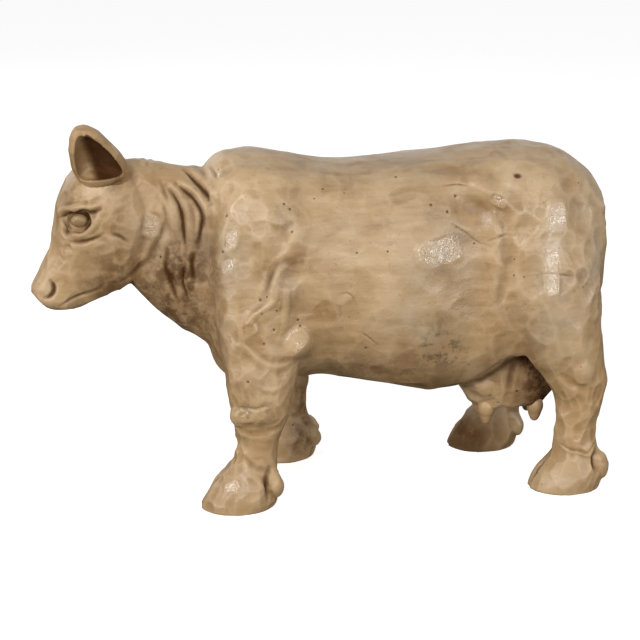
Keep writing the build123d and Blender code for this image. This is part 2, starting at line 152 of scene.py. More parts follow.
def fuse(name, lumps, grain_mm, rounds):
    """Joins lumps into one blank of even small faces and rubs its corners down."""
    deselect_all()
    for lump in lumps:
        lump.select_set(True)
    bpy.context.view_layer.objects.active = lumps[0]
    bpy.ops.object.join()
    blank = bpy.context.active_object
    blank.name = name
    blank.data.name = name
    blank.data.materials.clear()
    apply_modifier(blank, "REMESH", mode="VOXEL", voxel_size=grain_mm * MM, adaptivity=0)
    apply_modifier(blank, "SMOOTH", factor=0.5, iterations=rounds)
    return blank


# How a right leg stands behind its left twin: seam height, gap at the seam, further gap at the floor
LEG_GAPS = {"fore": (55, 16.6, 10.5), "hind": (70, -10, -18.5)}
SEAM_BLEND = 35


def leg_shift(height, seam_height, seam_gap, step_gap):
    below = np.clip(1 - height / seam_height, 0, 1)
    above = np.clip(1 - (height - seam_height) / SEAM_BLEND, 0, 1)
    return np.where(height < seam_height, seam_gap + step_gap * below, seam_gap * above)


def fall_off(distance, edge):
    """One inside, falling smoothly to zero at a distance of one."""
    share = np.clip((1 - distance) / edge, 0, 1)
    return share * share * (3 - 2 * share)


# Tones of the wood, kept at each point: stains, rubbing and dirt, some of them also carrying painted shade, light,
# sheen and bounce light
CARVING_TONES = ("hollow_dirt_and_shade", "patina_and_shade", "facet", "wear_and_light")
AGEING_TONES = ("haze_and_sheen", "grime", "honey_and_bounce", "polish")
# Scoops of the knife: most places tried, scoops that meet at a point, softness of their edges and deepest cut in mm
SCOOP_TRIES = 14000
SCOOPS_MEETING = 6
EDGE_SOFTNESS = 0.015
DEEPEST_CUT = 0.6


class Blank:
    """The points of a blank in millimetres, with the tools that shape and stain them."""

    def __init__(self, piece):
        self.piece = piece
        mesh = piece.data
        count = len(mesh.vertices)
        places = np.empty(count * 3)
        mesh.vertices.foreach_get("co", places)
        self.points = places.reshape(-1, 3) / MM
        ends = np.empty(len(mesh.edges) * 2, dtype=np.int64)
        mesh.edges.foreach_get("vertices", ends)
        self.ends = ends.reshape(-1, 2)
        self.degree = np.bincount(self.ends.ravel(), minlength=count).astype(float)
        self.lift = np.zeros(count)
        self.fine = np.zeros(count)
        self.tone = {name: np.zeros(count) for name in CARVING_TONES + AGEING_TONES}
        self.update()

    def update(self):
        """Writes the points to the mesh and reads fresh normals."""
        mesh = self.piece.data
        mesh.vertices.foreach_set("co", (self.points * MM).ravel())
        mesh.update()
        normals = np.empty(len(self.points) * 3)
        mesh.vertex_normals.foreach_get("vector", normals)
        self.normals = normals.reshape(-1, 3)

    def relax(self, values, rounds, weight=1.0):
        """Averages values over neighbours, round by round."""
        columns = values.reshape(len(values), -1).T.copy()
        first, second = self.ends.T
        for column in columns:
            for _ in range(rounds):
                total = np.bincount(first, column[second], len(column))
                total = total + np.bincount(second, column[first], len(column))
                column += weight * (total / self.degree - column) * 0.5
        return columns.T.reshape(values.shape)

    def surface(self):
        """A search tree of the blank's faces, in millimetres."""
        mesh = self.piece.data
        mesh.calc_loop_triangles()
        corners = np.empty(len(mesh.loop_triangles) * 3, dtype=np.int64)
        mesh.loop_triangles.foreach_get("vertices", corners)
        return BVHTree.FromPolygons(self.points.tolist(), corners.reshape(-1, 3).tolist())

    def sides(self, kind):
        """The points and normals as they are, then as they would lie on the left if they are on the right."""
        yield self.points, self.normals
        if kind != "left":
            mirrored = self.points * (1, -1, 1)
            if kind in LEG_GAPS:
                mirrored[:, 0] -= leg_shift(mirrored[:, 2], *LEG_GAPS[kind])
            yield mirrored, self.normals * (1, -1, 1)

    def stroke(self, kind, line, reach, height, strength=0.0, step=False, tone="hollow_dirt_and_shade"):
        """Raises or lowers the wood along a line, or steps it up on the left of the line, and tints it."""
        for points, normals in self.sides(kind):
            near = np.flatnonzero(((points > line.min(0) - reach) & (points < line.max(0) + reach)).all(1))
            if not len(near):
                continue
            spots = points[near]
            square = (spots ** 2).sum(1)[:, None] + (line ** 2).sum(1)[None] - 2 * spots @ line.T
            which = square.argmin(1)
            away = np.sqrt(np.maximum(square[np.arange(len(near)), which], 0))
            along = which / max(len(line) - 1, 1)
            fade = np.sin(np.pi * np.clip(along, 0.03, 0.97)) ** 0.5
            shape = np.clip(1 - (away / reach) ** 2, 0, 1) ** 2 * fade
            if step:
                ways = np.gradient(line, axis=0)
                ways /= np.linalg.norm(ways, axis=1)[:, None] + 1e-9
                side = np.einsum("ij,ij->i", np.cross(ways[which], spots - line[which]), normals[near])
                shape = shape * np.tanh(side * 4.5 / reach)
            self.lift[near] += height * shape
            self.tone[tone][near] = np.maximum(self.tone[tone][near], strength * np.abs(shape))
            self.fine[near] = np.maximum(self.fine[near], np.abs(shape) * min(1.0, 3.0 / reach))

    def bump(self, kind, spot, sizes, turn, height, edge, hollow_dirt_and_shade):
        """Raises or lowers an oval place; its sizes are in picture pixels and its turn in degrees."""
        along, across = turned_ways(turn)
        sizes = (sizes[0] * PX, sizes[1] * PX, max(sizes) * PX * 1.4)
        for points, _ in self.sides(kind):
            near = np.flatnonzero((np.abs(points - np.array(spot)) < max(sizes)).all(1))
            if not len(near):
                continue
            gaps = points[near] - np.array(spot)
            parts = [gaps @ np.array(way) / size for way, size in zip((along, across, camera_back), sizes)]
            shape = fall_off(np.sqrt(sum(part ** 2 for part in parts)), edge)
            self.lift[near] += height * shape
            self.tone["hollow_dirt_and_shade"][near] = np.maximum(self.tone["hollow_dirt_and_shade"][near], hollow_dirt_and_shade * shape)
            if max(sizes) < 6:
                self.fine[near] = np.maximum(self.fine[near], shape)

    def press(self):
        """Moves the points by what the strokes have gathered."""
        self.points += self.normals * self.lift[:, None]
        self.lift[:] = 0
        self.update()

    def facet(self, spacing, slope, strength, warp):
        """Cuts shallow scoops side by side, which meet in thin raised edges."""
        picks = dice.choice(len(self.points), min(SCOOP_TRIES, len(self.points)), replace=False)
        warped = warp(self.points)
        spots = warped[picks]
        gaps = spacing[picks] * dice.uniform(0.6, 1.6, len(picks))
        free = np.ones(len(picks), dtype=bool)
        kept = []
        for index in range(len(picks)):
            if free[index]:
                kept.append(index)
                free &= ((spots - spots[index]) ** 2).sum(1) > gaps[index] ** 2
        seeds, gaps = spots[kept], gaps[kept]
        slopes = np.broadcast_to(slope, len(self.points))[picks][kept]
        curve = slopes / gaps * dice.uniform(0.5, 1.5, len(kept))
        depth = curve * gaps ** 2 / 8 + dice.uniform(0, 0.05, len(kept))
        lean = dice.normal(0, 0.35, seeds.shape) * (curve * gaps)[:, None]
        tints = dice.random(len(kept))
        tree = KDTree(len(kept))
        for index, seed in enumerate(seeds):
            tree.insert(seed, index)
        tree.balance()
        which = np.array([[hit[1] for hit in tree.find_n(spot, SCOOPS_MEETING)] for spot in warped.tolist()])
        gap = warped[:, None] - seeds[which]
        height = curve[which] * (gap ** 2).sum(2) + (lean[which] * gap).sum(2) - depth[which]
        lowest = height.min(1)
        share = np.exp((lowest[:, None] - height) / EDGE_SOFTNESS)
        total = share.sum(1)
        cut = np.clip(lowest - EDGE_SOFTNESS * np.log(total), -DEEPEST_CUT, DEEPEST_CUT) * strength
        self.points += self.normals * cut[:, None]
        self.tone["facet"] = (share * tints[which]).sum(1) / total
        self.update()

    def flat(self, spot, sizes, turn, share, lean, window):
        """Shaves a place on both flanks with one wide cut that catches a window's light."""
        ways = turned_ways(turn)
        shine = (camera_place - spot).normalized() + (WINDOWS[window] - spot).normalized()
        shine = np.array(shine.normalized())
        for mirror, (points, normals) in zip(((1, 1, 1), (1, -1, 1)), self.sides("both")):
            near = np.flatnonzero(((points - np.array(spot)) ** 2).sum(1) < (max(sizes) * PX * 1.6) ** 2)
            gaps = points[near] - np.array(spot)
            parts = [np.abs(gaps @ np.array(way) / (size * PX)) for way, size in zip(ways, sizes)]
            shape = fall_off((parts[0] ** 4 + parts[1] ** 4) ** 0.25, 0.3)
            way = (normals[near] * shape[:, None]).sum(0)
            way = way / np.linalg.norm(way) + shine * lean
            way /= np.linalg.norm(way)
            depth = gaps @ way
            rise = (depth * shape).sum() / shape.sum() - depth
            self.points[near] += way * np.array(mirror) * (rise * shape * share)[:, None]
            self.tone["polish"][near] = np.maximum(self.tone["polish"][near], shape)

    def sunken(self):
        """How deep each place lies under a skin stretched over the piece, in millimetres."""
        skin = copy_of(self.piece, "skin")
        bpy.ops.object.mode_set(mode="EDIT")
        bpy.ops.mesh.select_all(action="SELECT")
        bpy.ops.mesh.convex_hull()
        bpy.ops.object.mode_set(mode="OBJECT")
        corners = [list(polygon.vertices) for polygon in skin.data.polygons]
        tree = BVHTree.FromPolygons([spot.co / MM for spot in skin.data.vertices], corners)
        bpy.data.objects.remove(skin)
        return np.array([tree.find_nearest(Vector(spot))[3] for spot in self.points])

    def measure(self, rounds=24, depth_scale=0.7):
        """Notes hollows, darkened as dirt and painted shade, and worn edges from how far the surface lies under or
        over its average.
        """
        calm = self.relax(self.points, rounds)
        depth = np.einsum("ij,ij->i", calm - self.points, self.normals)
        hollow = np.clip(depth / depth_scale, 0, 1)
        self.tone["hollow_dirt_and_shade"] = np.clip(self.tone["hollow_dirt_and_shade"] + hollow * 0.75, 0, 1)
        close = np.einsum("ij,ij->i", self.points - self.relax(self.points, 5), self.normals)
        self.tone["wear_and_light"] = np.clip(-depth / (depth_scale * 0.6), 0, 0.6) + np.clip(close / 0.07, 0, 0.6)
        self.tone["wear_and_light"] = np.clip(self.tone["wear_and_light"], 0, 1)

    def hold_in(self, low, high):
        """Planes off whatever stands out of a box."""
        self.points = np.clip(self.points, low, high)
        self.update()


def dense_line(points):
    """A line with a point about every half millimetre, rounded at its corners."""
    points = np.array(points, dtype=float)
    lengths = np.linalg.norm(np.diff(points, axis=0), axis=1)
    place = np.concatenate(([0], np.cumsum(lengths)))
    fine = np.linspace(0, place[-1], max(3, int(place[-1] / 0.5)))
    line = np.stack([np.interp(fine, place, points[:, axis]) for axis in range(3)], 1)
    for _ in range(8):
        line[1:-1] = (line[:-2] + line[1:-1] * 2 + line[2:]) / 4
    return line


def fall_on(tree, pixel):
    """Where the sight line through a pixel meets the blank, in millimetres."""
    way = camera_right * ((pixel[0] - PICTURE / 2) / FOCAL_PX)
    way = way + camera_up * ((PICTURE / 2 - pixel[1]) / FOCAL_PX)
    way = (way - camera_back).normalized()
    spot = tree.ray_cast(camera_place, way)[0]
    return spot or tree.find_nearest(camera_place + way * CAMERA_AWAY)[0]


def carve(blank, strokes, bumps):
    """Makes all strokes and bumps of a table, given in picture pixels, and presses them in."""
    tree = blank.surface()
    for kind, reach, height, hollow_dirt_and_shade, step, lines in strokes:
        for line in lines:
            blank.stroke(kind, dense_line([fall_on(tree, pixel) for pixel in line]), reach, height, hollow_dirt_and_shade, step)
    for kind, pixel, sizes, turn, height, edge, hollow_dirt_and_shade in bumps:
        blank.bump(kind, fall_on(tree, pixel), sizes, turn, height, edge, hollow_dirt_and_shade)
    blank.press()


def stain(blank, table):
    """Soaks tones into the wood along lines given in picture pixels: real stains, and painted shade and light."""
    tree = blank.surface()
    for tone, kind, strength, reach, lines in table:
        for line in lines:
            places = dense_line([fall_on(tree, pixel) for pixel in line])
            blank.stroke(kind, places, reach, 0, strength, False, tone)


# The blocks fused into one blank, with their bores plugged
BODY_GRAIN = 0.62
HOOF_Y = 29.5
BODY_BLOCKS = ("trunk", "head", "left_fore_leg", "right_fore_leg", "left_hind_leg", "right_hind_leg")
DOWELS = ("neck_dowels", "fore_leg_dowels", "hind_leg_dowels", "udder_dowel")
body_lumps = [copy_of(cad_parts[name], name + "_blank") for name in BODY_BLOCKS + DOWELS]
# Plugs for the eye sockets and the ear bores
for side_name in ("left", "right"):
    eye = middle_of(side_name + "_eye")
    body_lumps.append(ball((eye.x + 1.2, eye.y * 0.84, eye.z), (8, 4.6, 8)))
for plug in ((-105.3, -9.2, 156.5), (-105, -8, 153.5), (-105.4, 8.5, 159.3), (-105.2, 5, 158.7)):
    body_lumps.append(ball(plug, (3.9, 3.9, 3.9)))
# Dewclaws behind each pastern: place along X and side
for claw_x, side in ((-31.1, -1), (-4.0, 1), (134.4, -1), (106.5, 1)):
    for spread in (-5.8, 5.8):
        body_lumps.append(ball((claw_x, side * HOOF_Y + spread, 12.8), (4.6, 4.1, 7.2), -0.25))
# Clefts of the hooves, closed but for a groove: place of the toe along X and side
TOES = ((-66.6, -1), (-39.5, 1), (99.4, -1), (71.0, 1))
CLEFT_LUMPS = ((3, 1, (2.6, 2.7, 2.4)), (7, 2, (6, 2.7, 5.5)), (10.5, 8, (4.5, 2.7, 4.8)), (13, 5, (7, 2.7, 8)))
CLEFT_GROOVE = ((1, 2), (3, 5), (6.5, 10), (11, 15.5))
for toe_x, side in TOES:
    for away, height, sizes in CLEFT_LUMPS:
        body_lumps.append(ball((toe_x + away, side * HOOF_Y, height), sizes))
body_piece = fuse("body_blank", body_lumps, BODY_GRAIN, 8)
body = Blank(body_piece)

# Limb roots rubbed into the trunk, and the coronets into the hooves
x, y, z = body.points.T
limb = ((x > -64) & (x < 4)) | ((x > 66) & (x < 142))
soft = np.where(limb & (z > 44) & (z < 168), 1.0, 0.0)
body.points = body.relax(body.points, 60, body.relax(soft, 20))
shin = np.where(limb & (z > 14) & (z < 52), 1.0, 0.0)
body.points = body.relax(body.points, 45, body.relax(shin, 12))
body.update()

# Strokes: sides, reach and height in mm, darkness in the cut (dirt and painted shade), whether they step the wood,
# lines in picture pixels
BROAD_STROKES = (
    # Shoulder: front edge with the hollow before it, blade edge, ridges down to the forearm
    ("both", 9, -1.4, 0.0, False, [[(221, 196), (215, 214), (208, 232), (202, 252), (199, 275)]]),
    ("both", 12, 2.2, 0.0, False, [[(236, 205), (230, 235), (224, 262), (222, 290)]]),
    ("both", 10, 1.5, 0.0, True, [
        [(283, 208), (293, 224), (288, 243), (279, 257), (271, 269), (266, 286), (263, 300)],
    ]),
    ("both", 7, 1.0, 0.0, False, [[(271, 224), (279, 217), (291, 214)]]),
    ("both", 6, 1.1, 0.0, False, [[(276, 284), (275, 299), (265, 311), (252, 319), (247, 335)]]),
    ("both", 6, 1.0, 0.0, False, [[(290, 285), (287, 296), (286, 314), (281, 331)]]),
    ("both", 12, -1.8, 0.0, False, [[(302, 258), (305, 288), (308, 318)]]),
    ("both", 9, -1.2, 0.0, False, [[(262, 262), (254, 288), (246, 312)]]),
    # Hip bone, flank hollow and the front edge of the thigh
    ("both", 8, 2.2, 0.0, False, [[(474, 172), (481, 187), (494, 196), (505, 206)]]),
    ("both", 8, 1.1, 0.0, False, [[(481, 187), (468, 183), (448, 180), (424, 182)]]),
    ("both", 7, 0.9, 0.0, False, [[(474, 172), (488, 164), (505, 157)]]),
    ("both", 11, 2.0, 0.0, True, [
        [(503, 318), (496, 304), (499, 288), (504, 266), (503, 240), (497, 214), (487, 198)],
    ]),
    ("both", 13, -1.3, 0.0, False, [[(487, 288), (482, 312), (476, 336)]]),
    ("both", 15, 1.4, 0.0, False, [[(528, 300), (545, 320), (560, 338)]]),
    ("both", 9, -0.8, 0.0, False, [[(530, 205), (531, 232)]]),
)
# Bumps: sides, place and sizes in picture pixels, turn in degrees, height in mm, soft share of the rim, darkness in
# the hollow (dirt and painted shade)
BROAD_BUMPS = (
    ("both", (473, 208), (30, 22), -25, -2.6, 0.9, 0.0),
    ("both", (512, 182), (22, 16), 20, 0.8, 1.0, 0.0),
    ("both", (300, 205), (34, 26), 0, -0.8, 1.0, 0.0),
    ("both", (555, 235), (22, 60), 0, 1.0, 1.0, 0.0),
    ("fore", (255, 385), (28, 30), 0, 0.8, 1.0, 0.0),
    ("fore", (238, 417), (15, 12), 0, 2.4, 0.9, 0.0),
    ("fore", (258, 417), (20, 11), 0, 1.2, 0.9, 0.0),
    ("fore", (240, 444), (13, 12), 0, -1.3, 0.9, 0.0),
    ("fore", (274, 416), (12, 10), 0, 0.8, 0.9, 0.0),
    ("hind", (585, 373), (14, 15), 30, 1.5, 0.9, 0.0),
    ("hind", (575, 345), (28, 30), 0, 0.8, 1.0, 0.0),
    ("both", (139, 226), (26, 22), 60, 1.2, 1.0, 0.0),
)
carve(body, BROAD_STROKES, BROAD_BUMPS)

FINE_STROKES = (
    # Skin folds of the neck: the cuts, then the rolls between them
    ("both", 2.3, -1.8, 0.42, False, [
        [(176, 184), (186, 191), (193, 197), (201, 209), (203.5, 218), (201, 231), (198, 247)],
        [(166, 185), (174, 194), (179, 204), (182, 216), (184, 231), (187, 250)],
        [(184, 170), (192, 177), (199, 184), (207, 195), (210, 204)],
    ]),
    ("both", 2.0, -1.3, 0.5, False, [
        [(167, 249), (165, 268), (171, 284), (178, 302)],
        [(185, 264), (182, 282), (188, 300)],
        [(193, 250), (192, 266), (194, 282)],
    ]),
    ("both", 3.0, 1.5, 0.0, False, [
        [(172, 186), (181, 196), (188, 209), (189.5, 226), (191, 250)],
        [(182, 181), (193, 190), (201, 199), (206, 212), (206, 232)],
        [(190, 168), (199, 176), (208, 186), (214, 197)],
        [(171, 242), (175, 261), (178, 278), (184, 298)],
        [(160, 192), (168, 204), (173, 220), (177, 240)],
    ]),
    ("both", 1.5, -0.5, 0.3, False, [[(210, 166), (215, 173), (218, 181)], [(160, 180), (166, 196), (170, 210)]]),
    # Eye: brow edge, lids and the folds below, their cuts darkened as painted shade
    ("both", 1.8, -1.3, 1.0, False, [[(60, 217), (67, 214), (76, 211), (84, 211), (92, 213), (100, 209)]]),
    ("both", 2.6, 1.8, 0.0, False, [[(58, 213), (68, 209), (80, 207), (92, 207), (103, 204)]]),
    ("both", 1.5, -0.8, 0.8, False, [[(64, 222), (67, 229), (72, 234)], [(86, 229), (91, 222), (95, 214)]]),
    ("both", 2.2, 1.2, 0.0, False, [[(72, 235), (84, 234), (93, 228), (98, 219)]]),
    ("both", 1.7, -0.9, 0.5, False, [[(72, 242), (86, 241), (96, 238), (103, 234)]]),
    ("both", 1.6, -0.7, 0.5, False, [[(112, 234), (120, 236), (128, 242)]]),
    ("both", 2.4, 0.7, 0.0, False, [[(58, 238), (64, 243), (76, 247), (92, 246), (110, 242)]]),
    ("both", 3.0, 0.6, 0.0, False, [[(100, 212), (112, 208), (124, 204)]]),
    ("both", 4.0, -0.6, 0.0, False, [[(118, 256), (104, 262), (88, 262)]]),
    # Jaw edge, nose and mouth
    ("both", 5.0, 1.2, 0.0, True, [[(124, 278), (134, 270), (147, 257), (155, 241), (164, 217), (163, 196)]]),
    ("both", 1.8, -1.6, 1.0, False, [[(51, 281), (54, 286), (54, 292), (50, 297), (45, 298)]]),
    ("both", 1.6, -0.7, 0.4, False, [[(60, 306), (70, 300), (80, 295), (92, 292), (103, 287)]]),
    # Shoulder blade's groove and the two ridges below it
    ("both", 3.2, -1.1, 0.35, False, [[(293, 263), (285, 260), (276, 265), (270, 276), (267, 288), (264, 298)]]),
    ("both", 2.4, 0.8, 0.0, False, [[(276, 287), (273, 303), (262, 310), (252, 317), (248, 334)]]),
    ("both", 2.4, 0.8, 0.0, False, [[(287, 283), (286, 303), (284, 330), (279, 341)]]),
    # Upper arm over the forearm, knee and coronets
    ("fore", 4.5, 0.9, 0.1, True, [[(290, 362), (279, 365), (267, 363), (256, 355), (246, 346)]]),
    ("fore", 1.2, -0.3, 0.2, False, [[(236, 408), (246, 407), (256, 409), (266, 406)]]),
    ("fore", 3.0, -0.5, 0.05, False, [[(240, 430), (254, 434), (268, 431), (280, 426)]]),
    ("fore", 2.0, 0.7, 0.0, False, [[(262, 388), (272, 392), (284, 384)], [(258, 412), (270, 407), (277, 400)]]),
    ("fore", 2.2, -0.8, 0.3, False, [[(243, 456), (250, 463), (258, 469), (270, 470)]]),
    ("fore", 2.0, -1.0, 0.6, False, [[(270, 468), (266, 478), (266, 490), (268, 498)]]),
    ("hind", 2.2, 0.8, 0.2, True, [[(594, 446), (588, 455), (580, 452), (570, 451), (562, 446)]]),
    ("hind", 2.0, -1.0, 0.6, False, [[(596, 448), (592, 456), (593, 466), (596, 472)]]),
    ("hind", 3.5, -0.9, 0.0, False, [[(558, 372), (572, 384), (588, 390)]]),
    # Cracks of the wood
    ("left", 0.8, -0.22, 0.5, False, [
        [(523, 276), (547, 273), (565, 275), (592, 280)],
        [(452, 224), (464, 231), (478, 242), (490, 246)],
        [(488, 241), (498, 237), (508, 234)],
        [(338, 295), (346, 292), (352, 295), (357, 305)],
        [(362, 332), (370, 338), (378, 345)],
        [(444, 186), (456, 184), (468, 186)],
    ]),
)
# Worm holes
PITS = ((284, 204), (290, 209), (292, 232), (260, 300), (262, 314), (274, 330), (227, 216), (223, 252), (396, 177),
        (248, 382), (248, 418), (431, 205), (298, 320), (264, 344), (366, 348), (300, 326), (447, 212), (455, 196))
FINE_BUMPS = (
    # The eye's hollow and its lower corner darkened as painted shade
    ("both", (79, 218.5), (13, 8), 8, -1.9, 0.6, 0.85),
    ("both", (67, 231), (6, 7), 0, -0.8, 0.9, 0.7),
    ("both", (43, 287), (10, 10), 0, 1.0, 0.9, 0.0),
    ("both", (143, 163), (5, 5), 0, 0.7, 1.0, 0.0),
    ("both", (151, 164), (4, 5), 0, 0.6, 1.0, 0.0),
    ("both", (191, 166), (5, 5), 0, 0.6, 1.0, 0.0),
    ("left", (518, 175), (6, 4), 0, -1.2, 0.8, 0.8),
    # The hollow behind the left ear darkened as painted shade
    ("left", (94, 171), (12, 10), 0, -2.6, 0.9, 0.7),
) + tuple(("left", pixel, (2.1, 2.1), 0, -0.35, 0.9, 0.7) for pixel in PITS)
for toe_x, side in TOES:
    groove = [(toe_x + away, side * HOOF_Y, height) for away, height in CLEFT_GROOVE]
    body.stroke("left", dense_line(groove), 2.4, -0.8, 0.4)
carve(body, FINE_STROKES, FINE_BUMPS)

# Knife facets: narrow and upright on the limbs, long on the barrel, small on the head
x, y, z = body.points.T


def body_warp(points):
    """Stretches places: facets come out long along the barrel and upright on the limbs, with wavy edges."""
    x, y, z = points.T
    along = np.interp(x, (-150, -45, 10, 75, 150), (-105, 0, 40, 78, 153))
    up = np.interp(z, (0, 80, 190), (0, 46, 130))
    along = along + 0.8 * np.sin(z / 5.1 + y / 9) + 0.4 * np.sin(z / 2.3 + x / 7)
    up = up + 0.8 * np.sin(x / 4.7 + y / 8) + 0.4 * np.sin(x / 2.1 - z / 6)
    return np.stack([along, y, up], 1)


spacing = np.interp(x, (-110, -60, -40, 0, 60, 100, 140), (6.2, 6.2, 7.5, 10.0, 10.5, 8.5, 8.0))
shank = ((x < 4) | (x > 66)) & (z < 60)
spacing = body.relax(np.where(shank, 5.0, spacing), 60)
slope = np.interp(
    x,
    (-112, -95, -75, -55, -35, 0, 60, 100, 140),
    (0.20, 0.18, 0.13, 0.20, 0.24, 0.10, 0.11, 0.19, 0.17),
)
slope = body.relax(np.where(shank, 0.27, slope) * np.interp(z, (150, 175), (1.0, 0.6)), 60)
calm = (1 - 0.9 * body.fine) * np.interp(z, (0, 4), (0.15, 1))
patchy = 0.5 + 0.9 * np.sin(x / 15 + 0.7) * np.sin(z / 12 + x / 31) + 0.3 * np.sin(x / 6.3 + z / 7.7)
patchy = np.clip(patchy, 0, 1)
body.facet(spacing, slope, calm, body_warp)
body.facet(spacing * 0.5, slope * 0.7, calm * patchy * np.interp(x, (-75, -50), (0.4, 1.0)), body_warp)
# Wide flats where the wax shines: place and sizes in picture pixels, turn, share cut, lean to its window
FLATS = (
    ((557, 217), (11, 20), 0, 0.9, 3, "right"),
    ((552, 273), (9, 31), 3, 0.85, 2, "front"),
    ((232, 240), (8, 11), -10, 0.95, 6, "left"),
    ((229, 266), (7, 9), -10, 0.9, 5, "left"),
    ((152, 225), (10, 14), -15, 0.8, 2, "front"),
    ((440, 252), (27, 15), 15, 0.6, 2, "right"),
    ((66, 251), (7, 6), 20, 0.7, 2, "left"),
    ((499, 201), (10, 6), -30, 0.8, 2, "front"),
    ((295, 338), (15, 12), 35, 0.45, 0.6, "front"),
    ((250, 330), (8, 6), 10, 0.7, 2, "left"),
    ((60, 283), (5, 4), 20, 0.7, 2, "left"),
    ((246, 418), (9, 6), 5, 0.7, 2, "left"),
    ((232, 487), (10, 6), 20, 0.8, 2, "left"),
)
tree = body.surface()
for pixel, sizes, turn, share, lean, window in FLATS:
    body.flat(fall_on(tree, pixel), sizes, turn, share, lean, window)
body.update()
body.hold_in(*figure_box(0.05))
body.points[:, 2] = np.maximum(body.points[:, 2], 0.02)
body.update()
body.measure()

# Stains soaked in by age, and painted shade and light: tone, sides, strength, reach in mm, lines in picture pixels
STAINS = (
    # Throat, jaw and brow: a brown stain on the throat deepened with painted shade under the head, painted shade
    # along the jaw, and the brow darkened
    ("patina_and_shade", "both", 1.0, 9, [[(170, 248), (170, 272), (179, 304)], [(186, 252), (188, 282), (194, 308)]]),
    ("patina_and_shade", "both", 0.7, 15, [
        [(152, 258), (162, 285), (186, 320)],
        [(84, 298), (108, 282), (128, 274), (142, 262)],
    ]),
    ("patina_and_shade", "both", 0.9, 38, [
        [(132, 250), (150, 276), (186, 322), (200, 340)],
        [(172, 225), (184, 280), (190, 310)],
    ]),
    # Painted shade under the cheek, along the jaw
    ("patina_and_shade", "both", 0.75, 14, [[(92, 270), (112, 267), (132, 262), (146, 250)]]),
    ("patina_and_shade", "both", 0.3, 14, [[(70, 180), (66, 198), (62, 220)]]),
    ("patina_and_shade", "both", 0.5, 7, [[(178, 190), (190, 205), (194, 235)], [(204, 205), (206, 228), (203, 250)]]),
    # Painted shadow of the ear on the head
    ("patina_and_shade", "left", 0.4, 6, [[(100, 194), (110, 193), (124, 188)]]),
    # Painted shade in the corners of the eye sockets
    ("hollow_dirt_and_shade", "both", 0.8, 2.4, [[(86, 217), (91, 213), (98, 209)], [(64, 216), (68, 226), (72, 236)]]),
    # Belly, groin and the seam over the udder: painted shade under the belly and in the groin, a dark seam, and
    # grime
    ("patina_and_shade", "both", 0.6, 20, [[(310, 362), (360, 368), (410, 376), (450, 384)]]),
    ("patina_and_shade", "both", 0.45, 12, [[(478, 372), (500, 355), (525, 352)]]),
    ("hollow_dirt_and_shade", "both", 0.5, 1.8, [
        [(450, 385), (458, 383), (478, 376), (487, 370), (497, 363), (507, 357), (522, 354), (534, 358)],
    ]),
    ("grime", "both", 0.7, 9, [[(318, 366), (350, 371), (384, 372)]]),
    ("grime", "both", 1.0, 16, [[(415, 345), (435, 352), (450, 365)], [(425, 330), (445, 345), (455, 370)]]),
    ("grime", "both", 0.45, 12, [[(425, 200), (445, 215)], [(250, 378), (256, 420)], [(285, 200), (292, 232)]]),
    # Far legs: painted shadow of the body on the far hind hoof and the far fore leg
    ("patina_and_shade", "left", 1.0, 14, [[(444, 456), (462, 436), (478, 412)], [(456, 458), (474, 436), (486, 412)]]),
    ("hollow_dirt_and_shade", "left", 1.0, 26, [[(430, 470), (456, 446), (482, 405)], [(440, 476), (470, 450), (490, 405)]]),
    ("patina_and_shade", "left", 0.8, 14, [[(306, 370), (304, 400), (302, 440), (300, 470)]]),
    # Rubbed places on muzzle and hooves, the knee's front lightened as painted light, and the pale bloom of the wax
    ("wear_and_light", "both", 0.9, 10, [
        [(46, 280), (58, 290)],
        [(236, 412), (250, 414), (264, 412)],
        [(215, 500), (235, 488), (250, 492)],
    ]),
    # Pale bloom of the wax, laid over the shining flats as a painted highlight and sheen
    ("haze_and_sheen", "both", 0.85, 20, [[(530, 325), (550, 332), (575, 342)], [(590, 190), (596, 250), (596, 310)]]),
    ("haze_and_sheen", "both", 0.25, 28, [[(225, 160), (330, 172), (430, 168), (540, 160), (585, 180)]]),
    ("haze_and_sheen", "both", 0.8, 26, [[(418, 240), (440, 265), (452, 300)], [(400, 330), (440, 320)]]),
    ("haze_and_sheen", "both", 0.7, 14, [
        [(560, 195), (556, 250), (552, 315)],
        [(236, 225), (228, 275)],
        [(150, 215), (146, 240)],
    ]),
    ("haze_and_sheen", "both", 0.5, 12, [[(282, 268), (278, 300)], [(230, 485), (252, 500)], [(560, 475), (580, 485)]]),
)
stain(body, STAINS)
x, y, z = body.points.T
# Honey tint growing toward the bottom and low on the head: painted warm bounce light and shade of the lower body
body.tone["honey_and_bounce"] = np.clip(np.maximum(1.15 - z / 95, np.where(x < -52, 0.75 - (z - 95) / 70, 0)), 0, 1)

# The saw cuts that part the figure into its blocks again, in millimetres: X, Y and Z ranges
SEAM_NECK, SEAM_FORE, SEAM_HIND = -58, 55, 70
TRIANGLES_MOST = 190000
TRIANGLES_GOAL = 185000
SAW = {
    "head": [((-200, SEAM_NECK), (-90, 90), (57, 240))],
    "left_fore_leg": [((-90, 8), (-90, 0), (-20, SEAM_FORE))],
    "right_fore_leg": [((-90, 14), (0, 90), (-20, SEAM_FORE))],
    "left_hind_leg": [((86, 190), (-90, -13), (-20, SEAM_HIND)), ((60, 90), (-90, -13), (-20, 42))],
    "right_hind_leg": [((86, 190), (13, 90), (-20, SEAM_HIND)), ((60, 90), (13, 90), (-20, 42))],
}


def saw_box(ranges):
    deselect_all()
    low = Vector([span[0] for span in ranges])
    high = Vector([span[1] for span in ranges])
    bpy.ops.mesh.primitive_cube_add(size=1, location=(low + high) / 2 * MM)
    box = bpy.context.active_object
    box.scale = (high - low) * MM
    bpy.ops.object.transform_apply(location=True, rotation=True, scale=True)
    return box


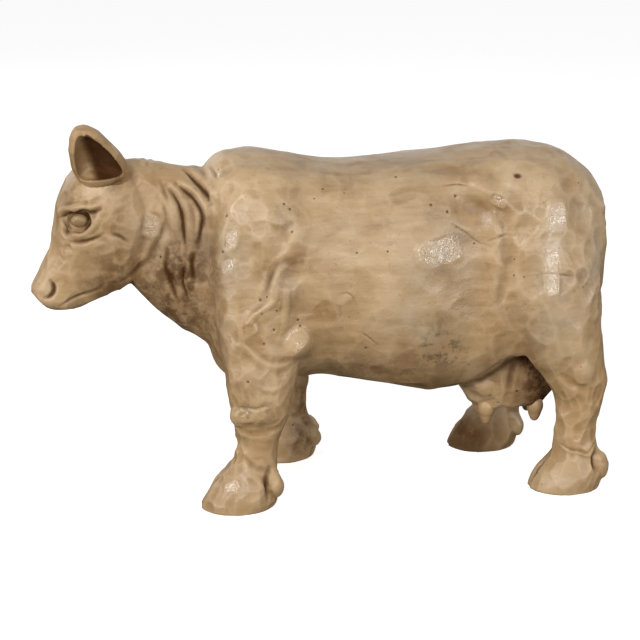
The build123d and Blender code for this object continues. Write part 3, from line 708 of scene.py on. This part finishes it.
def saw(piece, boxes, keep):
    """Keeps what lies inside the boxes, or what lies outside them."""
    cutter = saw_box(boxes[0])
    for ranges in boxes[1:]:
        extra = saw_box(ranges)
        apply_modifier(cutter, "BOOLEAN", operation="UNION", solver="EXACT", object=extra)
        bpy.data.objects.remove(extra)
    operation = "INTERSECT" if keep else "DIFFERENCE"
    apply_modifier(piece, "BOOLEAN", operation=operation, solver="MANIFOLD", object=cutter)
    bpy.data.objects.remove(cutter)


def keep_largest(piece):
    """Removes stray crumbs that sawing or fusing leaves."""
    make_active(piece)
    bpy.ops.object.mode_set(mode="EDIT")
    bpy.ops.mesh.select_all(action="SELECT")
    bpy.ops.mesh.separate(type="LOOSE")
    bpy.ops.object.mode_set(mode="OBJECT")
    shards = sorted(bpy.context.selected_objects, key=lambda shard: len(shard.data.vertices))
    name = piece.name
    largest = shards[-1]
    for shard in shards[:-1]:
        bpy.data.objects.remove(shard)
    largest.name = name
    return largest


def point_tree(blank):
    tree = KDTree(len(blank.points))
    for index, spot in enumerate(blank.points.tolist()):
        tree.insert(spot, index)
    tree.balance()
    return tree


def paint(piece, blank, tree):
    """Copies the blank's tones to a piece as two colour attributes."""
    mesh = piece.data
    places = np.empty(len(mesh.vertices) * 3)
    mesh.vertices.foreach_get("co", places)
    which = np.array([tree.find(spot)[1] for spot in (places.reshape(-1, 3) / MM).tolist()])
    for layer_name, tones in (("carving", CARVING_TONES), ("ageing", AGEING_TONES)):
        layer = mesh.color_attributes.get(layer_name)
        layer = layer or mesh.color_attributes.new(layer_name, "FLOAT_COLOR", "POINT")
        values = np.stack([blank.tone[tone] for tone in tones], 1)[which]
        layer.data.foreach_set("color", values.ravel().astype(np.float32))


pieces = {}
body_tree = point_tree(body)
apply_modifier(body_piece, "TRIANGULATE")
for name, boxes in SAW.items():
    piece = copy_of(body_piece, "carved_" + name)
    saw(piece, boxes, True)
    pieces[name] = keep_largest(piece)
trunk = copy_of(body_piece, "carved_trunk")
for boxes in SAW.values():
    saw(trunk, boxes, False)
pieces["trunk"] = keep_largest(trunk)
bpy.data.objects.remove(body_piece)
triangles = sum(len(polygon.vertices) - 2 for polygon in pieces["trunk"].data.polygons)
if triangles > TRIANGLES_MOST:
    apply_modifier(pieces["trunk"], "DECIMATE", ratio=TRIANGLES_GOAL / triangles)
for piece in pieces.values():
    paint(piece, body, body_tree)


def finish_piece(name, blank):
    """Holds a small piece inside the figure's box and paints it."""
    blank.hold_in(*figure_box(0.03))
    paint(blank.piece, blank, point_tree(blank))
    pieces[name] = blank.piece


def plain_warp(points):
    return points


# Ears: cups darkened inside as painted shade, darkest at their back, with a thin honey-tinted rim that is cut low at
# the left ear's foot and darkened there as painted shade
EAR_FOOT = (("left", 4.5, -1.8, 0.0, False, [[(98, 188), (110, 187), (122, 180)]]),)
EAR_FOOT_STAIN = (("hollow_dirt_and_shade", "left", 0.75, 2.6, [[(99, 186), (108, 185), (117, 183), (126, 177)]]),)
for side_name in ("left", "right"):
    lumps = [copy_of(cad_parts[side_name + "_ear"], "ear_blank")]
    if side_name == "left":
        lumps.append(ball((-110.5, -11.5, 163.2), (6.5, 5.5, 3.6)))
    ear = Blank(keep_largest(fuse("carved_%s_ear" % side_name, lumps, 0.42, 6)))
    cup = np.clip(ear.relax(ear.sunken(), 4) / 2.5, 0, 1)
    ear.points = ear.relax(ear.points, 30, cup)
    ear.points -= ear.normals * (cup * 0.8)[:, None]
    ear.update()
    if side_name == "left":
        carve(ear, EAR_FOOT, ())
    ear.facet(np.full(len(ear.points), 5.0), 0.08, 1 - cup, plain_warp)
    ear.measure(12, 0.8)
    x, y, z = ear.points.T
    # The inside of the cup darkened as painted shade, on the left ear from a pale front wall to a dark back
    back = 0.85
    if side_name == "left":
        back = np.interp(x + 115.6 - (187 - z) * 0.26, (-2.5, 1.5), (0.12, 1.0))
    ear.tone["patina_and_shade"] = np.maximum(cup * back, ear.tone["wear_and_light"] * 0.4 * back)
    ear.tone["hollow_dirt_and_shade"] = cup * back
    ear.tone["honey_and_bounce"] = np.clip(ear.tone["wear_and_light"] * 1.5, 0, 1)
    ear.tone["wear_and_light"] *= 0.2
    # Painted shade on the rim at the left ear's foot
    if side_name == "left":
        stain(ear, EAR_FOOT_STAIN)
    finish_piece(side_name + "_ear", ear)

# Udder and teats
udder_lumps = [copy_of(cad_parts[name], name + "_blank") for name in ("udder", "udder_dowel")]
udder = Blank(fuse("carved_udder", udder_lumps, 0.6, 14))
carve(udder, (
    ("both", 3.0, -0.9, 0.2, False, [[(516, 352), (512, 370), (508, 392), (506, 402)]]),
    ("both", 4.0, 0.9, 0.0, False, [[(474, 372), (490, 366), (506, 362)]]),
), (
    ("both", (482, 386), (20, 13), -15, 2.4, 1.0, 0.0),
    ("both", (532, 384), (18, 18), 0, 1.2, 1.0, 0.0),
    ("left", (517, 391), (2.5, 2), 0, -0.5, 0.9, 0.9),
    ("left", (498, 402), (2.5, 2), 0, -0.5, 0.9, 0.9),
    ("left", (490, 394), (3, 2), 0, -0.4, 0.9, 0.7),
))
udder.facet(np.full(len(udder.points), 6.0), 0.14, 1.0, plain_warp)
udder.measure()
udder.tone["honey_and_bounce"][:] = 0.6
x, y, z = udder.points.T
# The udder darkens toward its rear and its top as painted shade under the body
rear = np.interp(x, (88, 104), (0.0, 1.0))
udder.tone["patina_and_shade"] = np.clip(rear + np.interp(z, (50, 68), (0.0, 0.35)), 0, 1)
udder.tone["grime"][:] = 0.18
stain(udder, (
    # The front lobe lightened as painted light where light falls on it
    ("wear_and_light", "both", 1.0, 9, [[(470, 384), (484, 388), (498, 394)], [(476, 378), (494, 384)]]),
    ("hollow_dirt_and_shade", "both", 0.85, 2.5, [
        [(452, 390), (462, 386), (480, 380), (490, 374), (500, 367), (509, 361), (522, 358), (534, 360)],
    ]),
    ("hollow_dirt_and_shade", "both", 0.5, 1.2, [[(476, 402), (490, 399), (506, 394), (516, 392)], [(486, 378), (500, 383)]]),
))
finish_piece("udder", udder)
for name in ("front_left_teat", "front_right_teat", "rear_left_teat", "rear_right_teat"):
    low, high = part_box(name)
    place = (Vector(low) + Vector(high)) / 2 / MM
    foot = low[2] / MM
    lumps = [
        ball((place.x, place.y, foot + 8.5), (4.4, 4.2, 5.5)),
        ball((place.x, place.y, foot + 5.0), (3.4, 3.3, 4.0)),
        ball((place.x, place.y, foot + 2.6), (2.5, 2.5, 2.6)),
    ]
    teat = Blank(fuse("carved_" + name, lumps, 0.35, 16))
    teat.measure()
    teat.tone["honey_and_bounce"][:] = 0.9
    finish_piece(name, teat)

# Tail
tail = Blank(fuse("carved_tail", [copy_of(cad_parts["tail"], "tail_blank")], 0.45, 8))
tail.facet(np.full(len(tail.points), 5.0), 0.12, 1.0, plain_warp)
tail.measure()
finish_piece("tail", tail)

# Eyes: beads a little flattened, sunk between the lids
for side_name, side in (("left", -1), ("right", 1)):
    eye_low, eye_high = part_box(side_name + "_eye")
    outer = (eye_low[1] if side < 0 else eye_high[1]) / MM
    place = middle_of(side_name + "_eye")
    bead = ball((place.x - 1.2, outer - side * 3.0, place.z + 0.5), (4.1, 2.3, 3.2))
    eye = Blank(fuse("carved_%s_eye" % side_name, [bead], 0.25, 6))
    finish_piece(side_name + "_eye", eye)


class Finish:
    """A material's node tree with short ways to add nodes."""

    def __init__(self, name):
        self.material = bpy.data.materials.new(name)
        self.material.use_nodes = True
        self.tree = self.material.node_tree
        self.shader = self.tree.nodes["Principled BSDF"]

    def node(self, kind, inputs=(), **settings):
        node = self.tree.nodes.new("ShaderNode" + kind)
        for key, value in settings.items():
            setattr(node, key, value)
        for key, value in dict(inputs).items():
            if isinstance(value, bpy.types.NodeSocket):
                self.tree.links.new(value, node.inputs[key])
            else:
                node.inputs[key].default_value = value
        return node

    def math(self, operation, first, second=0.0, third=0.0, clamp=False):
        return self.node("Math", {0: first, 1: second, 2: third}, operation=operation, use_clamp=clamp).outputs[0]

    def mix(self, factor, first, second, blend="MIX"):
        first, second = [(*value, 1) if isinstance(value, tuple) else value for value in (first, second)]
        inputs = {"Factor": factor, "A": first, "B": second}
        node = self.tree.nodes.new("ShaderNodeMix")
        node.data_type = "RGBA"
        node.blend_type = blend
        for key, value in inputs.items():
            socket = [slot for slot in node.inputs if slot.name == key and slot.enabled][0]
            if isinstance(value, bpy.types.NodeSocket):
                self.tree.links.new(value, socket)
            else:
                socket.default_value = value
        return [slot for slot in node.outputs if slot.enabled][0]

    def noise(self, place, scale, detail=4.0, roughness=0.55, warp=0.0):
        inputs = {"Vector": place, "Scale": scale, "Detail": detail, "Roughness": roughness, "Distortion": warp}
        return self.node("TexNoise", inputs).outputs["Fac"]

    def span(self, value, low, high, to_low=0.0, to_high=1.0):
        inputs = {"Value": value, "From Min": low, "From Max": high, "To Min": to_low, "To Max": to_high}
        return self.node("MapRange", inputs, interpolation_type="SMOOTHSTEP").outputs["Result"]

    def link(self, output, socket):
        self.tree.links.new(output, self.shader.inputs[socket])


# Colours of the wood, of what has soaked into it, and of painted shade, light, sheen and bounce light
LIGHT_TAN = (0.595, 0.418, 0.236)
MIDDLE_TAN = (0.465, 0.302, 0.149)
DARK_TAN = (0.325, 0.192, 0.081)
HONEY_AND_BOUNCE = (0.490, 0.302, 0.133)
BURNT = (0.060, 0.022, 0.007)
PATINA_AND_SHADE = (0.085, 0.034, 0.009)
HAZE_AND_SHEEN = (0.620, 0.545, 0.430)
SOOT = (0.075, 0.062, 0.042)


def waxed_wood(name, shade, roughness):
    """Pale carved wood under old wax: mottled tan, dark in its cuts from dirt and painted shade, light on its
    ridges, brown with stain and painted shade, with painted light, sheen and bounce light, pitted and grimed.
    """
    wood = Finish(name)
    place = wood.node("TexCoord").outputs["Object"]
    carving = wood.node("Attribute", attribute_name="carving")
    ageing = wood.node("Attribute", attribute_name="ageing")
    cut = wood.node("SeparateColor", {"Color": carving.outputs["Color"]}).outputs
    age = wood.node("SeparateColor", {"Color": ageing.outputs["Color"]}).outputs
    hollow_dirt_and_shade, patina_and_shade, facet, wear_and_light = cut["Red"], cut["Green"], cut["Blue"], carving.outputs["Alpha"]
    haze_and_sheen, grime, honey_and_bounce, polish = age["Red"], age["Green"], age["Blue"], ageing.outputs["Alpha"]
    streak_place = wood.node("Mapping", {"Vector": place, "Scale": (0.16, 1, 1)}).outputs["Vector"]
    blotch = wood.noise(place, 26, 5, 0.6, 0.4)
    fibre = wood.noise(streak_place, 190, 4, 0.6, 0.2)
    streak = wood.noise(streak_place, 60, 4, 0.55, 0.6)
    speck = wood.noise(place, 420, 3, 0.6)

    tone = wood.math("MULTIPLY_ADD", blotch, 2.0, -0.5)
    tone = wood.math("MULTIPLY_ADD", wood.math("SUBTRACT", facet, 0.5), 0.40, tone)
    tone = wood.math("MULTIPLY_ADD", wood.math("SUBTRACT", streak, 0.5), 0.8, tone)
    tone = wood.math("MULTIPLY_ADD", wood.math("SUBTRACT", fibre, 0.5), 1.3, tone, True)
    colour = wood.mix(wood.span(tone, 0.0, 0.5), DARK_TAN, MIDDLE_TAN)
    colour = wood.mix(wood.span(tone, 0.42, 1.0), colour, LIGHT_TAN)
    # Honey tint: the udder, teats and ear rims' own colour, and painted warm bounce light low on the body
    honey = wood.span(wood.noise(place, 11, 3, 0.5, 0.8), 0.50, 0.74, 0.0, 0.55)
    colour = wood.mix(wood.math("MULTIPLY_ADD", honey_and_bounce, 0.42, honey, True), colour, HONEY_AND_BOUNCE)
    # Rubbed edges lighter, and painted light on the knee's front and the udder's front lobe
    colour = wood.mix(wood.math("MULTIPLY", wear_and_light, 0.42), colour, LIGHT_TAN)
    # Pale wax bloom, partly a painted highlight and sheen where the windows shine
    pale = wood.math("MULTIPLY", haze_and_sheen, wood.span(wood.noise(place, 34, 6, 0.65), 0.35, 0.65, 0.1, 0.6))
    colour = wood.mix(pale, colour, HAZE_AND_SHEEN)
    dirt = wood.math("MULTIPLY", grime, wood.span(wood.noise(place, 170, 6, 0.75), 0.47, 0.60, 0.15, 0.75))
    colour = wood.mix(dirt, colour, SOOT)
    # Brown stain, also painted shade under the jaw, belly and udder, on the far legs and in the ears
    brown = wood.math("MULTIPLY", patina_and_shade, wood.span(wood.noise(place, 130, 5, 0.7), 0.38, 0.60, 0.45, 1.0))
    colour = wood.mix(brown, colour, PATINA_AND_SHADE)
    cells = wood.node("TexVoronoi", {"Vector": place, "Scale": 210.0, "Randomness": 1.0})
    chance = wood.node("SeparateColor", {"Color": cells.outputs["Color"]}).outputs["Red"]
    hole = wood.span(cells.outputs["Distance"], 0.06, 0.13, 1.0, 0.0)
    hole = wood.math("MULTIPLY", hole, wood.span(chance, 0.88, 0.90))
    dust = wood.span(speck, 0.62, 0.74, 0.0, 0.45)
    colour = wood.mix(dust, colour, wood.mix(0.6, colour, BURNT))
    colour = wood.mix(wood.math("MULTIPLY", hole, 0.8), colour, BURNT)
    # Hollows and cuts darken to near black: dirt in them and painted shade
    deep = wood.math("POWER", hollow_dirt_and_shade, 1.15)
    colour = wood.mix(wood.math("MULTIPLY", deep, 0.9), colour, BURNT)
    colour = wood.mix(1.0, colour, (shade, shade, shade), "MULTIPLY")
    wood.link(colour, "Base Color")

    gloss = wood.span(wood.noise(place, 45, 5, 0.65), 0.3, 0.7, roughness - 0.10, roughness + 0.14)
    worn = wood.span(wood.noise(place, 300, 5, 0.7), 0.40, 0.60, 0.14, 0.32)
    gloss = wood.math("MULTIPLY_ADD", wood.math("SUBTRACT", worn, gloss), polish, gloss)
    gloss = wood.math("MULTIPLY_ADD", hollow_dirt_and_shade, 0.3, gloss)
    gloss = wood.math("MULTIPLY_ADD", patina_and_shade, 0.2, gloss, True)
    wood.link(gloss, "Roughness")
    pores = wood.noise(place, 1100, 2, 0.6)
    height = wood.math("MULTIPLY_ADD", fibre, 0.6, wood.math("MULTIPLY", speck, 0.5))
    height = wood.math("MULTIPLY_ADD", pores, 0.35, height)
    height = wood.math("MULTIPLY_ADD", hole, -1.2, height)
    bump = wood.node("Bump", {"Height": height, "Strength": 0.6, "Distance": 0.0005})
    wood.link(bump.outputs["Normal"], "Normal")
    shine = wood.math("MULTIPLY_ADD", hollow_dirt_and_shade, -0.45, wood.math("MULTIPLY_ADD", patina_and_shade, -0.30, 0.55))
    wood.link(wood.math("MAXIMUM", shine, 0.06), "Specular IOR Level")
    return wood.material


carved_wood = waxed_wood("waxed_carved_wood", 1.0, 0.38)
eye_wood = waxed_wood("polished_eye_wood", 0.78, 0.32)


def turned_wood(name):
    """Plain beech of the dowels, with fine grain and pores along it."""
    wood = Finish(name)
    place = wood.node("TexCoord").outputs["Object"]
    along = wood.node("Mapping", {"Vector": place, "Scale": (1, 1, 0.12)}).outputs["Vector"]
    grain = wood.noise(along, 320, 5, 0.6, 0.3)
    wood.link(wood.mix(wood.span(grain, 0.3, 0.7), (0.40, 0.25, 0.13), (0.60, 0.43, 0.26)), "Base Color")
    wood.link(wood.span(grain, 0.3, 0.7, 0.65, 0.5), "Roughness")
    bump = wood.node("Bump", {"Height": grain, "Strength": 0.3, "Distance": 0.0003})
    wood.link(bump.outputs["Normal"], "Normal")
    return wood.material


dowel_wood = turned_wood("turned_dowel_wood")
SMOOTH_ANGLE = math.radians(62)
for name, piece in pieces.items():
    piece.data.materials.clear()
    piece.data.materials.append(eye_wood if name.endswith("eye") else carved_wood)
    make_active(piece)
    bpy.ops.object.shade_smooth_by_angle(angle=SMOOTH_ANGLE)
    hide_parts(name)
    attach(piece, "root")
for name in DOWELS:
    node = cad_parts[name]
    node.data.materials.clear()
    node.data.materials.append(dowel_wood)

# Stage: a pale floor that keeps the shadow and gives little light back
deselect_all()
bpy.ops.mesh.primitive_plane_add(size=14, location=(0, 0, 0))
floor = bpy.context.active_object
floor.name = "floor"
paper = Finish("pale_paper")
seen = paper.node("LightPath").outputs["Is Camera Ray"]
paper.shader.inputs["Roughness"].default_value = 0.95
paper.shader.inputs["Specular IOR Level"].default_value = 0.0
paper.link(paper.mix(seen, (0.12, 0.105, 0.09), (0.93, 0.93, 0.93)), "Base Color")
paper.shader.inputs["Emission Color"].default_value = (1, 1, 1, 1)
paper.link(paper.math("MULTIPLY", seen, 0.75), "Emission Strength")
floor.data.materials.append(paper.material)

# Plain soft light all round, white where it is seen
world = bpy.context.scene.world or bpy.data.worlds.new("studio")
bpy.context.scene.world = world
world.use_nodes = True
sky = world.node_tree.nodes["Background"]
sky.inputs["Color"].default_value = (1, 1, 1, 1)
path = world.node_tree.nodes.new("ShaderNodeLightPath")
seen = path.outputs["Is Camera Ray"]
for ray in ("Is Glossy Ray", "Is Transmission Ray"):
    either = world.node_tree.nodes.new("ShaderNodeMath")
    either.operation = "MAXIMUM"
    world.node_tree.links.new(seen, either.inputs[0])
    world.node_tree.links.new(path.outputs[ray], either.inputs[1])
    seen = either.outputs[0]
level = world.node_tree.nodes.new("ShaderNodeMapRange")
level.inputs["To Min"].default_value = 0.205
level.inputs["To Max"].default_value = 1.0
world.node_tree.links.new(seen, level.inputs["Value"])
world.node_tree.links.new(level.outputs["Result"], sky.inputs["Strength"])


def lamp(name, place, size, watts):
    """A soft panel of light that faces the figure, in metres and watts."""
    deselect_all()
    bpy.ops.object.light_add(type="AREA", location=place)
    light = bpy.context.active_object
    light.name = name
    light.data.shape = "RECTANGLE"
    light.data.size, light.data.size_y = size
    light.data.energy = watts
    light.rotation_euler = (AIM * MM - Vector(place)).to_track_quat("-Z", "Y").to_euler()


lamp("lantern", (-0.58, -0.92, 0.72), (0.45, 0.45), 6.6)
lamp("back_window", around(222, 30, 1300) * MM, (0.45, 0.45), 2.4)
lamp("front_window", WINDOWS["front"] * MM, (0.20, 0.28), 3.4)
lamp("left_window", WINDOWS["left"] * MM, (0.22, 0.30), 3.6)
lamp("right_window", WINDOWS["right"] * MM, (0.17, 0.26), 2.5)

bpy.ops.object.camera_add(location=camera_place * MM)
camera = bpy.context.active_object
camera.rotation_euler = (-camera_back).to_track_quat("-Z", "Y").to_euler()
camera.data.sensor_width = SENSOR
camera.data.lens = FOCAL_PX / PICTURE * SENSOR
bpy.context.scene.camera = camera
bpy.context.scene.view_settings.view_transform = "Standard"
